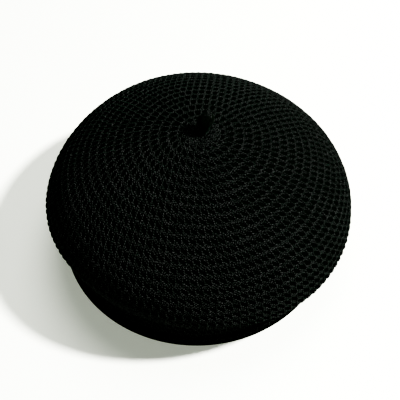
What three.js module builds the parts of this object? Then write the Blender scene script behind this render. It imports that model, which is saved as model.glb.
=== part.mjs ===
// Knit beret: a puffed crown of concentric knitted rounds, a headband whose edge is turned up into a
// thick hem, and a small knitted stem at the top. Millimetres, +Z up. The hat stands on its hem at
// z = 0, and -Y is the side that faces the wearer's front.

import * as THREE from 'three';

// Crown
const CROWN_RADIUS = 110; // widest round, outside
const CROWN_HEIGHT = 109; // top of the dome above the surface
const RIM_HEIGHT = 38; // mean height of the widest round
const DOME_POWER = 1.84; // 2 is a round dome, less is a more pointed one
const FOLD_POWER = 1.3; // the same for the fold under the widest round, where 1 is a straight slope
const DOME_SHARE = 0.8; // share of a meridian's parameter that runs over the dome
const TOP_FLAT_RADIUS = 6; // plain middle that carries the stem
const ROUND_HEIGHT = 6.4; // one knitted round, measured along the fabric
const ROUND_DEPTH = 0.9; // how far the ridge of a round stands over the groove beside it
const KNIT_WALL = 3.2; // thickness of the knitted fabric

// Headband
const NECK_RADIUS = 96; // outside of the fabric where the crown meets the headband
const NECK_HEIGHT = 22;
const HEM_RADIUS = 98.5; // outside of the turned-up edge
const HEM_HEIGHT = 7.5;
const HEM_ROUNDING = 1.6;

// Stem
const STEM_LENGTH = 14.5;
const STEM_ROOT_RADIUS = 3.6;
const STEM_TIP_RADIUS = 4.4;
const STEM_LEAN = new THREE.Vector2(4.2, 3.8); // how far the tip leans to the right and to the back

const GAP = 0.3; // between pieces that meet
const SEGMENTS = 60; // flats around the hat
const INSIDE_STEPS = 12; // rings on the crown's smooth inside

// The soft crown doesn't sit level: its widest round rises and falls on the way around, in waves.
const RIM_WAVES = [
  { waves: 1, rise: 9.6, azimuth: 227 },
  { waves: 2, rise: 4.2, azimuth: 233 },
  { waves: 3, rise: 2.8, azimuth: 239 },
];

// Middle of the hat at three heights: it leans a little between its foot and its top.
const CENTRES = [
  { height: 0, x: -1.9, y: -2.2 },
  { height: RIM_HEIGHT, x: 0, y: 0 },
  { height: CROWN_HEIGHT, x: 1.4, y: 0.8 },
];

const yarn = new THREE.Color(0x0b0d0c);

function rimRise(azimuth) {
  let rise = 0;
  for (const wave of RIM_WAVES) {
    rise += wave.rise * Math.cos(wave.waves * (azimuth - THREE.MathUtils.degToRad(wave.azimuth)));
  }
  return rise;
}

function centreAt(height) {
  const upper = height > CENTRES[1].height ? 2 : 1;
  const from = CENTRES[upper - 1];
  const to = CENTRES[upper];
  const share = (height - from.height) / (to.height - from.height);
  return new THREE.Vector2(
    THREE.MathUtils.lerp(from.x, to.x, share),
    THREE.MathUtils.lerp(from.y, to.y, share),
  );
}

// The outline of the crown from its top to its neck, as (radius, height), set in from the outside
// of the fabric by inset: a dome over the widest round, and a smaller fold under it.
class CrownMeridian extends THREE.Curve {
  constructor(inset, neckHeight) {
    super();
    this.radius = CROWN_RADIUS - inset;
    this.top = CROWN_HEIGHT - inset;
    this.neckRadius = NECK_RADIUS - inset;
    this.neckHeight = neckHeight;
    this.arcLengthDivisions = 800;
  }

  getPoint(t, target = new THREE.Vector2()) {
    const onDome = t < DOME_SHARE;
    const turn = onDome ? t / DOME_SHARE : (t - DOME_SHARE) / (1 - DOME_SHARE);
    const across = Math.max(0, onDome ? Math.sin(turn * Math.PI / 2) : Math.cos(turn * Math.PI / 2));
    const along = Math.max(0, onDome ? Math.cos(turn * Math.PI / 2) : Math.sin(turn * Math.PI / 2));
    if (onDome) {
      return target.set(
        this.radius * across ** (2 / DOME_POWER),
        RIM_HEIGHT + (this.top - RIM_HEIGHT) * along ** (2 / DOME_POWER),
      );
    }
    return target.set(
      this.neckRadius + (this.radius - this.neckRadius) * across ** (2 / FOLD_POWER),
      RIM_HEIGHT - (RIM_HEIGHT - this.neckHeight) * along ** (2 / FOLD_POWER),
    );
  }

  // Share of the rim's rise that reaches a height: all of it at the widest round, none at the ends.
  sagAt(height) {
    if (height > RIM_HEIGHT) return (this.top - height) / (this.top - RIM_HEIGHT);
    return (height - this.neckHeight) / (RIM_HEIGHT - this.neckHeight);
  }
}

// Turns rows of { radius, height, sag } into a closed surface around the hat's leaning middle.
// The rows run anticlockwise around the section, so the faces point outwards.
function revolve(rows, isRing) {
  const positions = [];
  for (const row of rows) {
    const centre = centreAt(row.height);
    for (let i = 0; i < SEGMENTS; i++) {
      const azimuth = (i / SEGMENTS) * 2 * Math.PI;
      positions.push(
        centre.x + row.radius * Math.cos(azimuth),
        centre.y + row.radius * Math.sin(azimuth),
        row.height + row.sag * rimRise(azimuth),
      );
    }
  }
  const faces = [];
  const bands = isRing ? rows.length : rows.length - 1;
  for (let j = 0; j < bands; j++) {
    const here = j * SEGMENTS;
    const next = ((j + 1) % rows.length) * SEGMENTS;
    for (let i = 0; i < SEGMENTS; i++) {
      const k = (i + 1) % SEGMENTS;
      faces.push(here + i, next + i, next + k, here + i, next + k, here + k);
    }
  }
  const geometry = new THREE.BufferGeometry();
  geometry.setAttribute('position', new THREE.Float32BufferAttribute(positions, 3));
  geometry.setIndex(faces);
  return geometry;
}

// Outside rows of a knitted wall: a ridge for each round and a groove between two rounds.
function knittedRows(curve, sagAt) {
  const length = curve.getLength();
  const rounds = Math.round(length / ROUND_HEIGHT);
  const rows = [];
  for (let step = 0; step <= 2 * rounds; step++) {
    const share = step / (2 * rounds);
    const point = curve.getPointAt(share);
    const tangent = curve.getTangentAt(share);
    const isPlain = point.x < TOP_FLAT_RADIUS || step === 0 || step === 2 * rounds;
    const isGroove = step % 2 === 0 && !isPlain;
    const depth = isGroove ? ROUND_DEPTH : 0;
    rows.push({
      radius: point.x + depth * tangent.y,
      height: point.y - depth * tangent.x,
      sag: sagAt(point.y),
    });
  }
  return rows;
}

function makeCrown() {
  const edge = NECK_HEIGHT + GAP / 2;
  const outside = new CrownMeridian(0, edge);
  const inside = new CrownMeridian(KNIT_WALL, edge);
  const rows = knittedRows(outside, (height) => outside.sagAt(height));
  rows[0].radius = 0;
  for (let step = INSIDE_STEPS; step >= 0; step--) {
    const point = inside.getPointAt(step / INSIDE_STEPS);
    rows.push({
      radius: step === 0 ? 0 : point.x,
      height: point.y,
      sag: step === 0 ? 0 : inside.sagAt(point.y),
    });
  }
  return revolve(rows, false);
}

function makeHeadband() {
  const inner = NECK_RADIUS - KNIT_WALL;
  const top = NECK_HEIGHT - GAP / 2;
  const wall = new THREE.LineCurve(
    new THREE.Vector2(NECK_RADIUS, top),
    new THREE.Vector2(NECK_RADIUS, HEM_HEIGHT),
  );
  const rows = knittedRows(wall, () => 0);
  const hem = [
    { radius: HEM_RADIUS, height: HEM_HEIGHT - HEM_ROUNDING },
    { radius: HEM_RADIUS, height: HEM_ROUNDING },
    { radius: HEM_RADIUS - HEM_ROUNDING, height: 0 },
    { radius: inner + HEM_ROUNDING, height: 0 },
    { radius: inner, height: HEM_ROUNDING },
  ];
  for (const row of hem) rows.push({ ...row, sag: 0 });
  rows.push({ radius: inner, height: top, sag: 0 });
  return revolve(rows, true);
}

// The stem is a short cord, thicker towards its round tip, that leans over more and more.
function makeStem() {
  const tip = STEM_LENGTH - STEM_TIP_RADIUS;
  const profile = [
    new THREE.Vector2(0, 0),
    new THREE.Vector2(STEM_ROOT_RADIUS, 0),
    new THREE.Vector2((STEM_ROOT_RADIUS + STEM_TIP_RADIUS) / 2, tip / 2),
  ];
  for (let step = 0; step <= 4; step++) {
    const turn = (step / 4) * Math.PI / 2;
    profile.push(new THREE.Vector2(
      STEM_TIP_RADIUS * Math.cos(turn),
      tip + STEM_TIP_RADIUS * Math.sin(turn),
    ));
  }
  profile[profile.length - 1].x = 0;
  const geometry = new THREE.LatheGeometry(profile, 16).rotateX(Math.PI / 2);
  const position = geometry.attributes.position;
  for (let i = 0; i < position.count; i++) {
    const lean = Math.max(0, position.getZ(i) / STEM_LENGTH) ** 1.5;
    position.setX(i, position.getX(i) + STEM_LEAN.x * lean);
    position.setY(i, position.getY(i) + STEM_LEAN.y * lean);
  }
  return geometry;
}

function knitMesh(name, geometry) {
  const material = new THREE.MeshStandardMaterial({ color: yarn, roughness: 0.9, metalness: 0 });
  const mesh = new THREE.Mesh(geometry, material);
  mesh.name = name;
  return mesh;
}

const group = new THREE.Group();

const crown = knitMesh('crown', makeCrown());
const headband = knitMesh('headband', makeHeadband());
const stem = knitMesh('stem', makeStem());
const top = centreAt(CROWN_HEIGHT);
stem.position.set(top.x, top.y, CROWN_HEIGHT + GAP);
group.add(crown, headband, stem);

export default group;
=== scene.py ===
import math

import bpy
import numpy as np
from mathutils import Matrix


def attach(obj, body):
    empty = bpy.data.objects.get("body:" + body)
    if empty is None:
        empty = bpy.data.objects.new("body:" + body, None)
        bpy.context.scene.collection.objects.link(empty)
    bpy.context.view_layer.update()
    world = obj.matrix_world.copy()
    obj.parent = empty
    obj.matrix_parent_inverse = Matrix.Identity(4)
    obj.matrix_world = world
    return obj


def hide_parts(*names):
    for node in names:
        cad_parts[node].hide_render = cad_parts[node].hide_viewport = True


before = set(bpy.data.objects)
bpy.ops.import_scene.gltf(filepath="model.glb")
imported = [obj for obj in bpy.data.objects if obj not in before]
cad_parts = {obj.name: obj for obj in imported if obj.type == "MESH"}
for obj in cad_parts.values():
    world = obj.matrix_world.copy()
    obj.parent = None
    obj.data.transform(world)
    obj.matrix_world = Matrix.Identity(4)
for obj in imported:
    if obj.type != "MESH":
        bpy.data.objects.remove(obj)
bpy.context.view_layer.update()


# ---------------------------------------------------------------------------------------------
# Crown ground. On the real hat the crown is one thick knit, worked in rounds from the stem out and
# down, and its back layer shows as the floor of the pits outside, painted nearly black there as
# shade, and as the plain side inside.
# It is made as a closed cloth shell around the hat's leaning middle, with a rim that sags.

MM = 0.001
CROWN_RADIUS = 110 * MM
CROWN_HEIGHT = 109 * MM
RIM_HEIGHT = 38 * MM
NECK_RADIUS = 96 * MM
NECK_HEIGHT = 22 * MM
DOME_POWER = 1.84  # 2 is a round dome, less is a more pointed one
FOLD_POWER = 1.3  # the same for the fold under the rim, where 1 is a straight slope
OUTLINE_STEPS = 400

# The soft rim rises and falls on the way around the hat: waves, rise in mm, azimuth in degrees.
RIM_WAVES = (
    (1, 9.6, 227),
    (2, 4.2, 233),
    (3, 2.8, 239),
)

# Middle of the hat at three heights, because it leans a little: height, x, y.
CENTRES = (
    (0.0, -1.9 * MM, -2.2 * MM),
    (RIM_HEIGHT, 0.0, 0.0),
    (CROWN_HEIGHT, 1.4 * MM, 0.8 * MM),
)

KNIT_WALL = 3.2 * MM
ROUND_HEIGHT = 6.4 * MM
AZIMUTH_STEPS = 360
FABRIC_STEPS = 420
BEND_REACH = 2.0 * MM  # how far up and down a bend of the cloth is measured


def rim_rise(azimuth):
    """How far the rim is above its mean height."""
    rise = np.zeros_like(azimuth)
    for waves, height, start in RIM_WAVES:
        rise += height * MM * np.cos(waves * (azimuth - math.radians(start)))
    return rise


def lean(height):
    """Where the middle of the hat is at a height."""
    heights, xs, ys = zip(*CENTRES)
    return np.interp(height, heights, xs), np.interp(height, heights, ys)


def crown_outline():
    """Radius, height and share of the rim's rise along the crown's outline, top to neck."""
    turn = np.linspace(0, math.pi / 2, OUTLINE_STEPS)
    across, along = np.sin(turn), np.clip(np.cos(turn), 0, 1)
    dome_share = along ** (2 / DOME_POWER)
    fold_share = across ** (2 / FOLD_POWER)
    dome_radius = CROWN_RADIUS * across ** (2 / DOME_POWER)
    dome_height = RIM_HEIGHT + (CROWN_HEIGHT - RIM_HEIGHT) * dome_share
    fold_radius = NECK_RADIUS + (CROWN_RADIUS - NECK_RADIUS) * along ** (2 / FOLD_POWER)
    fold_height = RIM_HEIGHT - (RIM_HEIGHT - NECK_HEIGHT) * fold_share
    return (
        np.concatenate([dome_radius, fold_radius[1:]]),
        np.concatenate([dome_height, fold_height[1:]]),
        np.concatenate([1 - dome_share, 1 - fold_share[1:]]),
    )


class Fabric:
    """A round cloth gone soft, on which a place is an azimuth and a share of the way down.

    radius, height and sag run along its outline; sag is the share of the rim's rise there.
    """

    def __init__(self, radius, height, sag, middle=lean):
        azimuth = np.linspace(0, 2 * math.pi, AZIMUTH_STEPS + 1)
        middle_x, middle_y = middle(height)
        x = middle_x[None, :] + np.cos(azimuth)[:, None] * radius[None, :]
        y = middle_y[None, :] + np.sin(azimuth)[:, None] * radius[None, :]
        z = height[None, :] + rim_rise(azimuth)[:, None] * sag[None, :]
        rough = np.stack([x, y, z], -1)
        step = np.linalg.norm(np.diff(rough, axis=1), axis=2)
        gone = np.concatenate([np.zeros((len(azimuth), 1)), np.cumsum(step, axis=1)], axis=1)
        self.length = float(gone[:, -1].mean())

        # Points at even steps down the cloth, and the directions out of it and up along it there.
        share = np.linspace(0, 1, FABRIC_STEPS + 1)
        self.points = np.empty((len(azimuth), len(share), 3))
        for i in range(len(azimuth)):
            for axis in range(3):
                self.points[i, :, axis] = np.interp(
                    share * gone[i, -1], gone[i], rough[i, :, axis])
        down = np.gradient(self.points, axis=1)
        ring = self.points[:-1]
        around = np.roll(ring, -1, axis=0) - np.roll(ring, 1, axis=0)
        around = np.concatenate([around, around[:1]])
        out = np.cross(down, around)
        if radius[0] == 0:
            out[:, 0] = (0, 0, 1)
        self.out = out / np.linalg.norm(out, axis=2, keepdims=True)
        self.up = -down / np.linalg.norm(down, axis=2, keepdims=True)

    def look_up(self, table, azimuth, share):
        """Reads points, out or up between their steps."""
        azimuth, share = np.broadcast_arrays(azimuth, share)
        a = (azimuth / (2 * math.pi) % 1) * AZIMUTH_STEPS
        s = np.clip(share, 0, 1) * FABRIC_STEPS
        a0 = np.floor(a).astype(int) % AZIMUTH_STEPS
        s0 = np.minimum(np.floor(s).astype(int), FABRIC_STEPS - 1)
        fa, fs = (a - np.floor(a))[..., None], (s - s0)[..., None]
        near = table[a0, s0] * (1 - fs) + table[a0, s0 + 1] * fs
        far = table[a0 + 1, s0] * (1 - fs) + table[a0 + 1, s0 + 1] * fs
        return near * (1 - fa) + far * fa

    def bend(self, azimuth, share):
        """Half the curvature of the cloth from top to bottom where it bulges out."""
        step = BEND_REACH / self.length
        turned = (self.look_up(self.out, azimuth, share + step)
                  - self.look_up(self.out, azimuth, share - step))
        down = -self.look_up(self.up, azimuth, share)
        return np.maximum((turned * down).sum(axis=-1) / (4 * BEND_REACH), 0)

    def at(self, azimuth, share, depth=0.0):
        """Points at a depth under the surface."""
        place = self.look_up(self.points, azimuth, share)
        return place - self.look_up(self.out, azimuth, share) * depth


crown_fabric = Fabric(*crown_outline())
CROWN_ROUNDS = round(crown_fabric.length / ROUND_HEIGHT - 0.5)


def crown_share(number):
    """Place of a round; the cloth ends half a round after the last one."""
    return number / (CROWN_ROUNDS + 0.5)


def add_node(tree, kind, inputs=(), **settings):
    """One node with its settings; inputs are (socket, value or output socket) pairs."""
    made = tree.nodes.new(kind)
    for name, value in settings.items():
        setattr(made, name, value)
    for key, value in inputs:
        if isinstance(value, bpy.types.NodeSocket):
            tree.links.new(value, made.inputs[key])
        else:
            made.inputs[key].default_value = value
    return made


def calc(tree, operation, *values):
    """Output socket of a Math node fed with values or sockets."""
    return add_node(tree, "ShaderNodeMath", enumerate(values), operation=operation).outputs[0]


def vector_calc(tree, operation, *values):
    """The same for two vectors, or for a vector and the number that scales it."""
    keys = (0, "Scale") if operation == "SCALE" else (0, 1)
    return add_node(tree, "ShaderNodeVectorMath", zip(keys, values), operation=operation).outputs[0]


def mesh_object(name, vertices, faces, edges=()):
    mesh = bpy.data.meshes.new(name)
    mesh.from_pydata(vertices.tolist(), list(edges), list(faces))
    mesh.update()
    made = bpy.data.objects.new(name, mesh)
    bpy.context.scene.collection.objects.link(made)
    return made


def closed_shell(name, rows, materials, first_inside_row):
    """A closed skin over rows of points, each a ring around the hat or one point at a pole.

    Rows from first_inside_row on get the second material.
    """
    starts = np.cumsum([0] + [len(row) for row in rows])
    faces, slots = [], []
    for j, row in enumerate(rows):
        after = rows[(j + 1) % len(rows)]
        if len(row) == 1 and len(after) == 1:
            continue
        here, there = starts[j], starts[(j + 1) % len(rows)]
        for i in range(max(len(row), len(after))):
            n = i + 1
            corners = (
                here + i % len(row),
                there + i % len(after),
                there + n % len(after),
                here + n % len(row),
            )
            faces.append(tuple(dict.fromkeys(int(c) for c in corners)))
            slots.append(int(j >= first_inside_row))
    made = mesh_object(name, np.concatenate(rows), faces)
    for material in materials:
        made.data.materials.append(material)
    made.data.polygons.foreach_set("material_index", slots)
    made.data.polygons.foreach_set("use_smooth", [True] * len(faces))
    return made


SHEEN_ROUGHNESS = 0.25


def new_material(name, color, roughness, sheen, sheen_tint):
    """A cloth material without a mirror-like part, as dull yarn has none."""
    material = bpy.data.materials.new(name)
    material.use_nodes = True
    shader = material.node_tree.nodes["Principled BSDF"]
    shader.inputs["Base Color"].default_value = (*color, 1)
    shader.inputs["Roughness"].default_value = roughness
    shader.inputs["Sheen Weight"].default_value = sheen
    shader.inputs["Sheen Roughness"].default_value = SHEEN_ROUGHNESS
    shader.inputs["Sheen Tint"].default_value = (*sheen_tint, 1)
    shader.inputs["Specular IOR Level"].default_value = 0.0
    return material


FLECK_DETAIL = 3.0
FLECK_ROUGHNESS = 0.65
FLECK_RANGE = (0.42, 0.66)


def make_fleck_and_glint_group():
    """Shared by every yarn here: dark and light flecks of fibre, on the black yarn the light ones
    partly painted glints, and the height of its fuzz.
    """
    group = bpy.data.node_groups.new("yarn_flecks_and_painted_glints", "ShaderNodeTree")
    face = group.interface
    face.new_socket("Dark", in_out="INPUT", socket_type="NodeSocketColor")
    face.new_socket("Light", in_out="INPUT", socket_type="NodeSocketColor")
    face.new_socket("Fleck Size", in_out="INPUT", socket_type="NodeSocketFloat")
    face.new_socket("Color", in_out="OUTPUT", socket_type="NodeSocketColor")
    face.new_socket("Height", in_out="OUTPUT", socket_type="NodeSocketFloat")
    entry = add_node(group, "NodeGroupInput")
    place = add_node(group, "ShaderNodeTexCoord").outputs["Object"]
    scale = calc(group, "DIVIDE", 1.0, entry.outputs["Fleck Size"])
    fleck = add_node(
        group, "ShaderNodeTexNoise",
        [("Vector", place), ("Scale", scale), ("Detail", FLECK_DETAIL),
         ("Roughness", FLECK_ROUGHNESS)],
    )
    contrast = add_node(
        group, "ShaderNodeMapRange",
        [("Value", fleck.outputs["Fac"]), ("From Min", FLECK_RANGE[0]),
         ("From Max", FLECK_RANGE[1])],
        interpolation_type="SMOOTHSTEP",
    )
    mix = add_node(
        group, "ShaderNodeMix",
        [(0, contrast.outputs["Result"]), (6, entry.outputs["Dark"]),
         (7, entry.outputs["Light"])],
        data_type="RGBA",
    )
    add_node(
        group, "NodeGroupOutput",
        [("Color", mix.outputs[2]), ("Height", fleck.outputs["Fac"])],
    )
    return group


fleck_and_glint_group = make_fleck_and_glint_group()


def add_flecks_and_glints(material, dark, light, fleck, depth):
    """Places the fleck group, of fibre tone and painted glints, in a material and returns it, with
    the bump that it feeds.
    """
    tree = material.node_tree
    shader = tree.nodes["Principled BSDF"]
    fleck_glint_node = add_node(tree, "ShaderNodeGroup", node_tree=fleck_and_glint_group)
    fleck_glint_node.inputs["Dark"].default_value = (*dark, 1)
    fleck_glint_node.inputs["Light"].default_value = (*light, 1)
    fleck_glint_node.inputs["Fleck Size"].default_value = fleck
    tree.links.new(fleck_glint_node.outputs["Color"], shader.inputs["Base Color"])
    bump = add_node(
        tree, "ShaderNodeBump",
        [("Height", fleck_glint_node.outputs["Height"]), ("Distance", depth), ("Strength", 1.0)],
    )
    tree.links.new(bump.outputs["Normal"], shader.inputs["Normal"])
    return fleck_glint_node, bump


# Painted shade: the pits' floor is nearly black, darker than the yarn, for the shade that falls
# into the pits.
pit_shade_material = new_material("pit_painted_shade", (0.0002, 0.0003, 0.0002), 0.95, 0.0, (1, 1, 1))
add_flecks_and_glints(pit_shade_material, (0.0004, 0.0009, 0.0004), (0.0009, 0.0018, 0.0009), 0.9 * MM, 0.2 * MM)
inside_material = new_material("inside_knit", (0.012, 0.014, 0.013), 0.9, 0.2, (0.5, 0.6, 0.55))
add_flecks_and_glints(inside_material, (0.006, 0.008, 0.007), (0.02, 0.025, 0.022), 0.8 * MM, 0.4 * MM)

GROUND_SEGMENTS = 240
GROUND_STEPS_PER_ROUND = 8
GROUND_DEPTH = 1.4 * MM
RIDGE_GROUND_DEPTH = 1.05 * MM
PIT_SHARPNESS = 0.6
INSIDE_STEPS_PER_ROUND = 6
INSIDE_RIDGE = 0.35 * MM


def make_crown_ground():
    """Outside it lies deepest along the pits; inside it has a low ridge for each round."""
    azimuth = np.linspace(0, 2 * math.pi, GROUND_SEGMENTS, endpoint=False)
    rows = [crown_fabric.at(azimuth[:1], 0.0, RIDGE_GROUND_DEPTH)]
    for step in range(1, int((CROWN_ROUNDS + 0.5) * GROUND_STEPS_PER_ROUND) + 1):
        number = step / GROUND_STEPS_PER_ROUND
        pit = 0.5 + 0.5 * math.cos(2 * math.pi * number)
        depth = RIDGE_GROUND_DEPTH + (GROUND_DEPTH - RIDGE_GROUND_DEPTH) * pit ** PIT_SHARPNESS
        rows.append(crown_fabric.at(azimuth, crown_share(number), depth))
    first_inside_row = len(rows)
    steps = CROWN_ROUNDS * INSIDE_STEPS_PER_ROUND
    for step in range(steps, 0, -1):
        ridge = INSIDE_RIDGE * math.cos(2 * math.pi * step / INSIDE_STEPS_PER_ROUND)
        rows.append(crown_fabric.at(azimuth, step / steps, KNIT_WALL + INSIDE_RIDGE - ridge))
    rows.append(crown_fabric.at(azimuth[:1], 0.0, KNIT_WALL))
    # The outside takes the pit material, whose near-black colour is painted shade.
    return closed_shell("crown_ground", rows, (pit_shade_material, inside_material), first_inside_row)


crown_ground = make_crown_ground()
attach(crown_ground, "root")
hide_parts("crown")


# ---------------------------------------------------------------------------------------------
# Crown rounds. The raised side of the knit, in black two-ply yarn: in each row two strands of loops
# go up and down and cross as the posts beside the pits, and a ridge runs between two rows. Rounds
# grow with the radius of the crown until the knit has its full number of stitches.

FULL_STITCHES = 126
STITCH_WIDTH = 4.6 * MM
ROW_STAGGER = 0.17  # stitches by which a round is shifted against the one above, in front
FRONT_TURN = 0.75  # the front, as a share of a turn
LOOP_POINTS = 180
RIDGE_DEPTH = 1.05 * MM
POST_DEPTH = 1.05 * MM

# The cloth is pulled aside in front: most at this azimuth, and less and less away from it.
SKEW_AZIMUTH = 264
POST_SKEW_POWER = 1.5
RIDGE_SKEW_POWER = 3
RIDGE_SKEW_REST = 0.1


def stitches_in(radius, stitch_width):
    """Even number of stitches in a round of this radius."""
    return 2 * round(min(2 * math.pi * radius / stitch_width, FULL_STITCHES) / 2)


def first_phase(stitches, number):
    """Stitches passed at azimuth 0, when the rounds line up in front of the hat."""
    return (number * ROW_STAGGER - FRONT_TURN * stitches) % 2


def round_lines(fabric, rows, ridges, share_of, stitch_width=STITCH_WIDTH,
                post_depth=POST_DEPTH, ridge_depth=RIDGE_DEPTH):
    """Closed guide lines for rows of posts and for ridges, with what the yarn tree reads there.

    rows and ridges are numbers of rounds; share_of turns such a number into a place on the cloth.
    """
    azimuth = np.linspace(0, 2 * math.pi, LOOP_POINTS, endpoint=False)

    def stitches_at(number):
        ring = fabric.at(azimuth, share_of(number))
        return stitches_in(float(np.ptp(ring[:, 0])) / 2, stitch_width)

    lines = [(share_of(k), 1.0, stitches_at(k), k, stitches_at(k), k) for k in rows]
    for k in ridges:
        lines.append((share_of(k + 0.5), 0.0, stitches_at(k + 1), k + 1, stitches_at(k), k))
    points, edges, data = [], [], {name: [] for name in (
        "fabric_out", "fabric_up", "fabric_bend", "post_skew", "ridge_skew", "is_post",
        "stitches", "start", "stitches_over", "start_over")}
    for share, is_post, below, number_below, over, number_over in lines:
        depth = post_depth if is_post else ridge_depth
        first = len(points) * LOOP_POINTS
        edges.extend((first + i, first + (i + 1) % LOOP_POINTS) for i in range(LOOP_POINTS))
        points.append(fabric.at(azimuth, share, depth))
        data["fabric_out"].append(fabric.look_up(fabric.out, azimuth, share))
        data["fabric_up"].append(fabric.look_up(fabric.up, azimuth, share))
        data["fabric_bend"].append(fabric.bend(azimuth, share))
        pulled = 0.5 + 0.5 * np.cos(azimuth - math.radians(SKEW_AZIMUTH))
        data["post_skew"].append(pulled ** POST_SKEW_POWER)
        data["ridge_skew"].append(
            RIDGE_SKEW_REST + (1 - RIDGE_SKEW_REST) * pulled ** RIDGE_SKEW_POWER)
        data["is_post"].append(np.full(LOOP_POINTS, is_post))
        data["stitches"].append(np.full(LOOP_POINTS, float(below)))
        data["start"].append(np.full(LOOP_POINTS, first_phase(below, number_below)))
        data["stitches_over"].append(np.full(LOOP_POINTS, float(over)))
        data["start_over"].append(np.full(LOOP_POINTS, first_phase(over, number_over)))
    made = mesh_object("guide", np.concatenate(points), [], edges)
    for name, values in data.items():
        values = np.concatenate(values).astype(np.float32)
        kind = "FLOAT_VECTOR" if values.ndim == 2 else "FLOAT"
        attribute = made.data.attributes.new(name, kind, "POINT")
        attribute.data.foreach_set("vector" if values.ndim == 2 else "value", values.ravel())
    return made


def named(tree, name, kind="FLOAT"):
    """Reads an attribute of the guide lines."""
    return add_node(
        tree, "GeometryNodeInputNamedAttribute", [("Name", name)], data_type=kind).outputs[0]


def add_sweep_group():
    """Turns curves into round yarn that knows where a point lies along and around its strand."""
    tree = bpy.data.node_groups.new("sweep_yarn", "GeometryNodeTree")
    face = tree.interface
    face.new_socket("Curve", in_out="INPUT", socket_type="NodeSocketGeometry")
    face.new_socket("Sides", in_out="INPUT", socket_type="NodeSocketInt")
    face.new_socket("Mesh", in_out="OUTPUT", socket_type="NodeSocketGeometry")
    entry = add_node(tree, "NodeGroupInput")
    length = add_node(tree, "GeometryNodeSplineParameter").outputs["Length"]
    along = add_node(
        tree, "GeometryNodeStoreNamedAttribute",
        [("Geometry", entry.outputs["Curve"]), ("Name", "yarn_along"), ("Value", length)],
        data_type="FLOAT", domain="POINT",
    )
    circle = add_node(
        tree, "GeometryNodeCurvePrimitiveCircle",
        [("Resolution", entry.outputs["Sides"]), ("Radius", 1.0)],
    )
    place = add_node(tree, "GeometryNodeInputPosition").outputs[0]
    around = add_node(
        tree, "GeometryNodeStoreNamedAttribute",
        [("Geometry", circle.outputs["Curve"]), ("Name", "yarn_around"),
         ("Value", vector_calc(tree, "NORMALIZE", place))],
        data_type="FLOAT_VECTOR", domain="POINT",
    )
    thickness = add_node(tree, "GeometryNodeInputRadius").outputs[0]
    sweep = add_node(
        tree, "GeometryNodeCurveToMesh",
        [("Curve", along.outputs[0]), ("Profile Curve", around.outputs[0]), ("Scale", thickness),
         ("Fill Caps", True)],
    )
    add_node(tree, "NodeGroupOutput", [("Mesh", sweep.outputs[0])])
    return tree


sweep_group = add_sweep_group()
ZIGZAG_SKEW = 0.35
WANDER_SCALE = 160.0


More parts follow.
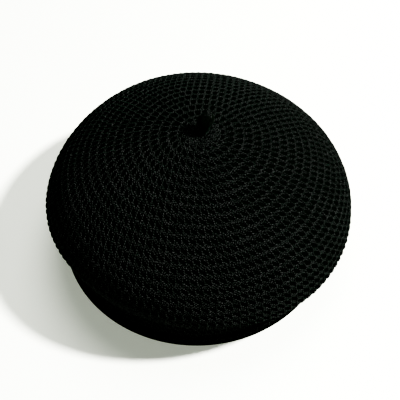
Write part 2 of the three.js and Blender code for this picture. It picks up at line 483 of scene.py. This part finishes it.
def make_rounds_tree(material):
    """Ridges and crossing loops along guide lines around the hat."""
    tree = bpy.data.node_groups.new("knitted_rounds", "GeometryNodeTree")
    face = tree.interface
    face.new_socket("Guide", in_out="INPUT", socket_type="NodeSocketGeometry")
    for name in ("Ridge Yarn", "Zigzag", "Post Yarn", "Post Reach", "Post Steepness", "Post Lean",
                 "Post Spread", "Post Crossing", "Stitch Width", "Wander"):
        face.new_socket(name, in_out="INPUT", socket_type="NodeSocketFloat")
    for name in ("Ridge Steps", "Post Steps", "Sides"):
        face.new_socket(name, in_out="INPUT", socket_type="NodeSocketInt")
    face.new_socket("Yarn", in_out="OUTPUT", socket_type="NodeSocketGeometry")
    entry = add_node(tree, "NodeGroupInput")
    size = entry.outputs
    out, up = named(tree, "fabric_out", "FLOAT_VECTOR"), named(tree, "fabric_up", "FLOAT_VECTOR")
    side = vector_calc(tree, "CROSS_PRODUCT", up, out)

    # Stitches passed on this round, and on the one above it.
    turn = add_node(tree, "GeometryNodeSplineParameter").outputs["Factor"]
    stitches, start = named(tree, "stitches"), named(tree, "start")
    phase = calc(tree, "ADD", calc(tree, "MULTIPLY", turn, stitches), start)
    angle = calc(tree, "MULTIPLY", phase, 2 * math.pi)
    over = calc(tree, "ADD", calc(tree, "MULTIPLY", turn, named(tree, "stitches_over")),
                named(tree, "start_over"))
    angle_over = calc(tree, "MULTIPLY", over, 2 * math.pi)
    is_post = calc(tree, "GREATER_THAN", named(tree, "is_post"), 0.5)
    parts = add_node(
        tree, "GeometryNodeSeparateGeometry",
        [("Geometry", size["Guide"]), ("Selection", is_post)], domain="POINT",
    )

    def strands_on(lines, steps):
        """Guide lines as curves with this many points for each stitch."""
        curve = add_node(tree, "GeometryNodeMeshToCurve", [("Mesh", lines)])
        count = add_node(
            tree, "FunctionNodeFloatToInt", [(0, calc(tree, "MULTIPLY", stitches, steps))],
            rounding_mode="ROUND",
        )
        return add_node(
            tree, "GeometryNodeResampleCurve",
            [("Curve", curve.outputs[0]), ("Count", count.outputs[0])], mode="COUNT",
        ).outputs[0]

    def moved(curve, radius, parts_of_offset):
        """The curve as yarn of this radius, moved by the sum of (direction, amount) pairs."""
        total = None
        for direction, amount in parts_of_offset:
            piece = vector_calc(tree, "SCALE", direction, amount)
            total = piece if total is None else vector_calc(tree, "ADD", total, piece)
        shifted = add_node(
            tree, "GeometryNodeSetPosition", [("Geometry", curve), ("Offset", total)])
        return add_node(
            tree, "GeometryNodeSetCurveRadius",
            [("Curve", shifted.outputs[0]), ("Radius", radius)],
        ).outputs[0]

    place = add_node(tree, "GeometryNodeInputPosition").outputs[0]
    noise = add_node(
        tree, "ShaderNodeTexNoise",
        [("Vector", place), ("Scale", WANDER_SCALE), ("Detail", 1.0)],
    )
    wander = vector_calc(tree, "SCALE", vector_calc(
        tree, "SUBTRACT", noise.outputs["Color"], (0.5, 0.5, 0.5)), size["Wander"])

    # Ridges fall steeply from a post of the row above to one of the row below, then climb slowly
    # back; they lie between two rows, so they take the mean of both.
    post_skew, ridge_skew = named(tree, "post_skew"), named(tree, "ridge_skew")

    def zigzag_at(turned):
        """How far the knit zigzags up at this angle of a stitch."""
        twice = calc(tree, "SINE", calc(tree, "MULTIPLY", turned, 2.0))
        wave = calc(tree, "ADD", calc(tree, "SINE", turned), calc(
            tree, "MULTIPLY", twice, ZIGZAG_SKEW))
        return calc(tree, "MULTIPLY", calc(tree, "MULTIPLY", size["Zigzag"], wave),
                    calc(tree, "MULTIPLY", ridge_skew, -1.0))

    zigzag = zigzag_at(calc(tree, "MULTIPLY", calc(tree, "ADD", angle, angle_over), 0.5))
    ridge_line = strands_on(parts.outputs["Inverted"], size["Ridge Steps"])
    joined = add_node(tree, "GeometryNodeJoinGeometry")
    tree.links.new(moved(ridge_line, size["Ridge Yarn"], ((up, zigzag),)), joined.inputs[0])

    # Loops: two strands go up and down in turn, and cross as the posts beside each pit. On a bend
    # of the cloth they bow back, so that their tips don't stand off it.
    half = calc(tree, "MULTIPLY", calc(tree, "SUBTRACT", phase, 0.5), math.pi)
    steep = calc(tree, "MULTIPLY", size["Stitch Width"], calc(
        tree, "MULTIPLY", size["Post Steepness"], -1 / (2 * math.pi)))
    steeper = calc(tree, "MULTIPLY", steep, calc(tree, "SINE", calc(tree, "MULTIPLY", half, 2.0)))
    post_line = strands_on(parts.outputs["Selection"], size["Post Steps"])
    for sign in (1.0, -1.0):
        rise = calc(tree, "MULTIPLY", calc(tree, "MULTIPLY", size["Post Reach"], sign),
                    calc(tree, "SINE", half))
        lean_here = calc(tree, "MULTIPLY", size["Post Lean"], post_skew)
        aside = calc(tree, "SUBTRACT", steeper, calc(tree, "MULTIPLY", rise, lean_here))
        swing = calc(tree, "MULTIPLY", calc(tree, "COSINE", half), sign)
        aside = calc(tree, "ADD", aside, calc(tree, "MULTIPLY", size["Post Spread"], swing))
        rise = calc(tree, "ADD", rise, zigzag_at(angle))
        stand = calc(tree, "SUBTRACT", calc(tree, "MULTIPLY", size["Post Crossing"], swing), calc(
            tree, "MULTIPLY", named(tree, "fabric_bend"), calc(tree, "MULTIPLY", rise, rise)))
        strand = moved(post_line, size["Post Yarn"], ((up, rise), (side, aside), (out, stand)))
        tree.links.new(strand, joined.inputs[0])

    loose = add_node(
        tree, "GeometryNodeSetPosition", [("Geometry", joined.outputs[0]), ("Offset", wander)])
    yarn = add_node(tree, "GeometryNodeGroup", node_tree=sweep_group)
    tree.links.new(loose.outputs[0], yarn.inputs["Curve"])
    tree.links.new(size["Sides"], yarn.inputs["Sides"])
    smooth = add_node(tree, "GeometryNodeSetShadeSmooth", [("Geometry", yarn.outputs[0])])
    real = add_node(tree, "GeometryNodeRealizeInstances", [("Geometry", smooth.outputs[0])])
    dressed = add_node(
        tree, "GeometryNodeSetMaterial", [("Geometry", real.outputs[0]), ("Material", material)])
    add_node(tree, "NodeGroupOutput", [("Yarn", dressed.outputs[0])])
    return tree


def run_tree(name, guide, tree, sizes):
    """Runs a tree on its guide lines and keeps the result as a plain mesh."""
    modifier = guide.modifiers.new("yarn", "NODES")
    modifier.node_group = tree
    for item in tree.interface.items_tree:
        if item.in_out == "INPUT" and item.name in sizes:
            modifier[item.identifier] = sizes[item.name]
    bpy.context.view_layer.update()
    graph = bpy.context.evaluated_depsgraph_get()
    mesh = bpy.data.meshes.new_from_object(guide.evaluated_get(graph), depsgraph=graph)
    mesh.name = name
    made = bpy.data.objects.new(name, mesh)
    bpy.context.scene.collection.objects.link(made)
    old = guide.data
    bpy.data.objects.remove(guide)
    bpy.data.meshes.remove(old)
    return made


PLY_PITCH = 1.7 * MM
PLY_DEPTH = 0.16 * MM
CREST_RANGE = (-0.8, 0.7)
# Painted shade in the grooves between the plies.
GROOVE_SHADE_COLOR = (0.0003, 0.0004, 0.0003, 1)


def make_yarn_material():
    """Black yarn of two plies: a groove winds around each strand and is painted nearly black as
    shade; flecks of fibre lie over the rest, the light ones partly painted glints.
    """
    material = new_material("black_yarn", (0.0014, 0.0023, 0.0016), 0.6, 0.018, (0.3, 1.0, 0.6))
    # The light flecks are partly fibre tone and partly painted glints, in place of the shine of the
    # fibres.
    fleck_glint_node, bump = add_flecks_and_glints(
        material, (0.0045, 0.0068, 0.005), (0.027, 0.028, 0.027), 1.0 * MM, 0.25 * MM)
    tree = material.node_tree
    along = add_node(tree, "ShaderNodeAttribute", attribute_name="yarn_along").outputs["Fac"]
    around = add_node(tree, "ShaderNodeAttribute", attribute_name="yarn_around").outputs["Vector"]
    split = add_node(tree, "ShaderNodeSeparateXYZ", [(0, around)])
    turned = calc(tree, "MULTIPLY", along, 2 * math.pi / PLY_PITCH)
    ply = calc(
        tree, "ADD",
        calc(tree, "MULTIPLY", calc(tree, "SINE", turned), split.outputs["X"]),
        calc(tree, "MULTIPLY", calc(tree, "COSINE", turned), split.outputs["Y"]),
    )
    plies = add_node(
        tree, "ShaderNodeBump",
        [("Height", ply), ("Distance", PLY_DEPTH), ("Strength", 1.0), ("Normal", bump.outputs[0])],
    )
    shader = tree.nodes["Principled BSDF"]
    tree.links.new(plies.outputs["Normal"], shader.inputs["Normal"])
    groove_shade_mask = add_node(
        tree, "ShaderNodeMapRange",
        [("Value", ply), ("From Min", CREST_RANGE[0]), ("From Max", CREST_RANGE[1]),
         ("To Min", 0.0), ("To Max", 1.0)],
    )
    # Painted shade: the grooves between the plies take a nearly black colour instead of the fibre
    # colour.
    groove_shaded = add_node(
        tree, "ShaderNodeMix",
        [(0, groove_shade_mask.outputs["Result"]), (6, GROOVE_SHADE_COLOR), (7, fleck_glint_node.outputs["Color"])],
        data_type="RGBA",
    )
    tree.links.new(groove_shaded.outputs[2], shader.inputs["Base Color"])
    return material


yarn_material = make_yarn_material()
rounds_tree = make_rounds_tree(yarn_material)

# Yarns are radii, the reach of a post is measured from the middle of its row, and steps are the
# points of a strand for each stitch.
KNIT_SIZES = {
    "Ridge Yarn": 0.36 * MM,
    "Zigzag": 1.0 * MM,
    "Post Yarn": 0.5 * MM,
    "Post Reach": 3.25 * MM,
    "Post Steepness": 0.8,
    "Post Lean": 0.48,
    "Post Spread": 0.22 * MM,
    "Post Crossing": 0.3 * MM,
    "Stitch Width": 5.0 * MM,
    "Wander": 0.4 * MM,
    "Ridge Steps": 5,
    "Post Steps": 7,
    "Sides": 5,
}

# The fold is drawn in towards the band, so its ridges stand out more than its posts.
FOLD_SIZES = {
    **KNIT_SIZES,
    "Ridge Yarn": 0.5 * MM,
    "Post Yarn": 0.46 * MM,
    "Post Reach": 2.7 * MM,
    "Post Spread": 0.25 * MM,
    "Wander": 0.25 * MM,
}

# Extra rounds close the knit around the stem, where it is begun tightly.
TIGHT_ROUNDS = (0.5, 1.5)

# First and last row of posts of each piece, so that no piece of yarn is too heavy.
CROWN_PIECES = (
    ("crown_top_rounds", 1, 12, KNIT_SIZES),
    ("crown_side_rounds", 13, 17, KNIT_SIZES),
    ("crown_rim_rounds", 18, 22, KNIT_SIZES),
    ("crown_fold_rounds", 23, CROWN_ROUNDS, FOLD_SIZES),
)
for name, first, last, sizes in CROWN_PIECES:
    ridges = range(first if first > 1 else 0, last + 1)
    rows = sorted([*range(first, last + 1), *(k for k in TIGHT_ROUNDS if first == 1)])
    guide = round_lines(crown_fabric, rows, ridges, crown_share)
    rounds = run_tree(name, guide, rounds_tree, sizes)
    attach(rounds, "root")


# ---------------------------------------------------------------------------------------------
# Headband. The knit goes on below the crown as an upright band, in finer rounds that end in a
# rolled hem, on which the hat stands. Its inside is the plain side of the knit.

BAND_TOP = 22.6 * MM  # a little inside the crown, so that the seam is closed
HEM_RADIUS = 98.5 * MM
HEM_TOP = 7.5 * MM
HEM_SHOULDER = 5.9 * MM
HEM_ROUNDING = 1.6 * MM
BAND_ROUND_HEIGHT = 4.9 * MM
BAND_ROUNDS = 4
BAND_STITCH_WIDTH = 4.6 * MM
BAND_GROUND_DEPTH = 1.5 * MM
BAND_SEGMENTS = 200
BAND_STEPS = 52
BAND_CORNER_STEPS = 6
HEM_RAMPS = 9  # over the last ninth of the outside, the ground comes up to the surface


def band_outline():
    """Radius and height from the neck down the outside, under the hem and up the inside."""
    corner = np.linspace(0, math.pi / 2, BAND_CORNER_STEPS)
    inner = NECK_RADIUS - KNIT_WALL
    turn_out = (HEM_RADIUS - HEM_ROUNDING + HEM_ROUNDING * np.cos(corner),
                HEM_ROUNDING - HEM_ROUNDING * np.sin(corner))
    turn_in = (inner + HEM_ROUNDING - HEM_ROUNDING * np.sin(corner),
               HEM_ROUNDING - HEM_ROUNDING * np.cos(corner))
    radius = np.concatenate(
        [[NECK_RADIUS, NECK_RADIUS, HEM_RADIUS], turn_out[0], turn_in[0], [inner]])
    height = np.concatenate(
        [[BAND_TOP, HEM_TOP, HEM_SHOULDER], turn_out[1], turn_in[1], [BAND_TOP]])
    return radius, height, np.zeros_like(radius)


band_fabric = Fabric(*band_outline())
BAND_OUTSIDE = (BAND_ROUNDS + 0.5) * BAND_ROUND_HEIGHT / band_fabric.length


def band_share(number):
    """Place of a round of the headband."""
    return number * BAND_ROUND_HEIGHT / band_fabric.length


def make_band_ground():
    """Outside it lies under the yarn as far as the hem; the hem and the inside are plain."""
    azimuth = np.linspace(0, 2 * math.pi, BAND_SEGMENTS, endpoint=False)
    rows, first_inside_row = [], 0
    for share in np.linspace(0, 1, BAND_STEPS):
        ramp = (BAND_OUTSIDE - share) / (BAND_OUTSIDE / HEM_RAMPS)
        depth = BAND_GROUND_DEPTH * min(1.0, max(0.0, ramp))
        rows.append(band_fabric.at(azimuth, share, depth))
        first_inside_row += share < BAND_OUTSIDE
    # The outside takes the pit material, whose near-black colour is painted shade.
    return closed_shell("band_ground", rows, (pit_shade_material, inside_material), first_inside_row)


band_ground = make_band_ground()
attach(band_ground, "root")
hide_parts("headband")

BAND_SIZES = {
    **KNIT_SIZES,
    "Post Reach": 2.2 * MM,
    "Zigzag": 0.5 * MM,
    "Stitch Width": BAND_STITCH_WIDTH,
}
band_guide = round_lines(
    band_fabric, range(1, BAND_ROUNDS + 1), range(0, BAND_ROUNDS + 1), band_share,
    BAND_STITCH_WIDTH)
band_rounds = run_tree("band_rounds", band_guide, rounds_tree, BAND_SIZES)
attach(band_rounds, "root")


# ---------------------------------------------------------------------------------------------
# Stem. The short stub in the middle of the crown is a smooth knitted tube that leans to the right
# and back; its last round is drawn together around the tip.

STEM_FOOT = 109.3 * MM
STEM_LENGTH = 14.5 * MM
STEM_ROOT_RADIUS = 3.8 * MM
STEM_TIP_RADIUS = 5.6 * MM
STEM_LEAN = (5.2 * MM, 2.8 * MM)
STEM_ROUND_HEIGHT = 3.1 * MM
STEM_STITCH_WIDTH = 3.3 * MM
STEM_BEND_POWER = 1.5
STEM_GROUND_DEPTH = 0.2 * MM
STEM_YARN_DEPTH = 0.5 * MM
STEM_CORNER_STEPS = 16
STEM_SEGMENTS = 32
STEM_STEPS = 14
STEM_FIRST_SHARE = 0.1


def stem_middle(height):
    """Where the middle of the stem is: it leans over more and more towards its tip."""
    bent = np.clip((height - STEM_FOOT) / STEM_LENGTH, 0, 1) ** STEM_BEND_POWER
    root_x, root_y = lean(CROWN_HEIGHT)
    return root_x + STEM_LEAN[0] * bent, root_y + STEM_LEAN[1] * bent


def stem_outline():
    """Radius and height of the stem from the middle of its tip down to its root."""
    corner = np.linspace(0, math.pi / 2, STEM_CORNER_STEPS)
    top = STEM_FOOT + STEM_LENGTH - STEM_TIP_RADIUS
    radius = np.concatenate([STEM_TIP_RADIUS * np.sin(corner), [STEM_ROOT_RADIUS]])
    height = np.concatenate([top + STEM_TIP_RADIUS * np.cos(corner), [STEM_FOOT]])
    return radius, height, np.zeros_like(radius)


stem_fabric = Fabric(*stem_outline(), stem_middle)
STEM_ROUNDS = round(stem_fabric.length / STEM_ROUND_HEIGHT - 0.5)


def stem_share(number):
    """Place of a round of the stem, down from the tip."""
    return number / (STEM_ROUNDS + 0.5)


stem_material = new_material("stem_knit", (0.002, 0.0034, 0.0022), 0.9, 0.01, (0.3, 1.0, 0.6))
add_flecks_and_glints(stem_material, (0.0007, 0.0016, 0.0007), (0.0027, 0.0044, 0.0028), 1.1 * MM, 0.5 * MM)
stem_azimuth = np.linspace(0, 2 * math.pi, STEM_SEGMENTS, endpoint=False)
stem_rows = [stem_fabric.at(stem_azimuth[:1], 0.0, STEM_GROUND_DEPTH)]
stem_rows += [stem_fabric.at(stem_azimuth, share, STEM_GROUND_DEPTH)
              for share in np.linspace(STEM_FIRST_SHARE, 1, STEM_STEPS)]
stem_rows.append(stem_rows[-1].mean(axis=0, keepdims=True))
stem_core = closed_shell("stem_core", stem_rows, (stem_material,), len(stem_rows))
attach(stem_core, "root")
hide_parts("stem")

STEM_SIZES = {
    "Ridge Yarn": 0.4 * MM,
    "Zigzag": 0.15 * MM,
    "Post Yarn": 0.4 * MM,
    "Post Reach": 1.3 * MM,
    "Post Steepness": 0.6,
    "Post Lean": 0.3,
    "Post Spread": 0.2 * MM,
    "Post Crossing": 0.3 * MM,
    "Stitch Width": STEM_STITCH_WIDTH,
    "Wander": 0.5 * MM,
    "Ridge Steps": 8,
    "Post Steps": 9,
    "Sides": 6,
}
stem_guide = round_lines(
    stem_fabric, (0.6,), (0,), stem_share, STEM_STITCH_WIDTH,
    STEM_YARN_DEPTH, STEM_YARN_DEPTH)
stem_rounds = run_tree("stem_rounds", stem_guide, rounds_tree, STEM_SIZES)
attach(stem_rounds, "root")


# ---------------------------------------------------------------------------------------------
# Studio. A plain pale floor, which glows faintly in place of the light that a bright room throws
# into the shadow; a lamp at the right, a broad one behind and a weak greenish one at the left.

FLOOR_HALF = 3.0
FLOOR_GLOW = 0.28
ROOM_LIGHT = 0.08
LAMP_TARGET = (0, 0, 0.04)
floor_mesh = bpy.data.meshes.new("floor")
floor_mesh.from_pydata(
    [(-FLOOR_HALF, -FLOOR_HALF, 0), (FLOOR_HALF, -FLOOR_HALF, 0),
     (FLOOR_HALF, FLOOR_HALF, 0), (-FLOOR_HALF, FLOOR_HALF, 0)], [], [(0, 1, 2, 3)])
floor = bpy.data.objects.new("floor", floor_mesh)
bpy.context.scene.collection.objects.link(floor)
floor_material = bpy.data.materials.new("pale_floor")
floor_material.use_nodes = True
floor_shader = floor_material.node_tree.nodes["Principled BSDF"]
floor_shader.inputs["Base Color"].default_value = (0.88, 0.91, 0.8, 1)
floor_shader.inputs["Roughness"].default_value = 0.7
floor_shader.inputs["Emission Color"].default_value = (0.94, 1.0, 0.84, 1)
floor_shader.inputs["Emission Strength"].default_value = FLOOR_GLOW
floor_mesh.materials.append(floor_material)

bpy.context.scene.view_settings.look = "AgX - High Contrast"

world = bpy.data.worlds.new("studio")
world.use_nodes = True
world.node_tree.nodes["Background"].inputs["Color"].default_value = (1, 1, 1, 1)
world.node_tree.nodes["Background"].inputs["Strength"].default_value = ROOM_LIGHT
bpy.context.scene.world = world


def aim(made, place, target):
    """Puts a lamp or a camera in its place and turns it to the target, upright."""
    direction = np.array(target, float) - np.array(place, float)
    made.location = place
    made.rotation_euler = (
        math.acos(-direction[2] / np.linalg.norm(direction)),
        0,
        math.atan2(direction[1], direction[0]) - math.pi / 2,
    )


def soft_light(name, watts, size, azimuth, elevation, distance, color=(1, 1, 1)):
    """A round soft lamp that faces the hat from a direction in degrees, sizes in metres."""
    lamp = bpy.data.lights.new(name, "AREA")
    lamp.shape = "DISK"
    lamp.size = size
    lamp.energy = watts
    lamp.color = color
    made = bpy.data.objects.new(name, lamp)
    bpy.context.scene.collection.objects.link(made)
    turn, rise = math.radians(azimuth), math.radians(elevation)
    place = (
        distance * math.cos(rise) * math.cos(turn),
        distance * math.cos(rise) * math.sin(turn),
        LAMP_TARGET[2] + distance * math.sin(rise),
    )
    aim(made, place, LAMP_TARGET)


soft_light("key", 196, 0.2, -1, 50, 2.0)
soft_light("overhead", 26, 1.2, 80, 67, 1.6)
soft_light("left", 4, 0.5, 212, 7, 1.6, (0.5, 1.0, 0.6))

ELEVATION = math.radians(54)
DISTANCE = 6 * CROWN_RADIUS
AIM_HEIGHT = 0.305 * CROWN_RADIUS
LENS_MM = 81.9
SENSOR_MM = 36
SHIFT = 0.00175
camera_data = bpy.data.cameras.new("camera")
camera_data.sensor_width = SENSOR_MM
camera_data.lens = LENS_MM
camera_data.shift_x = SHIFT
camera = bpy.data.objects.new("camera", camera_data)
bpy.context.scene.collection.objects.link(camera)
aim(
    camera,
    (0, -DISTANCE * math.cos(ELEVATION), AIM_HEIGHT + DISTANCE * math.sin(ELEVATION)),
    (0, 0, AIM_HEIGHT),
)
bpy.context.scene.camera = camera
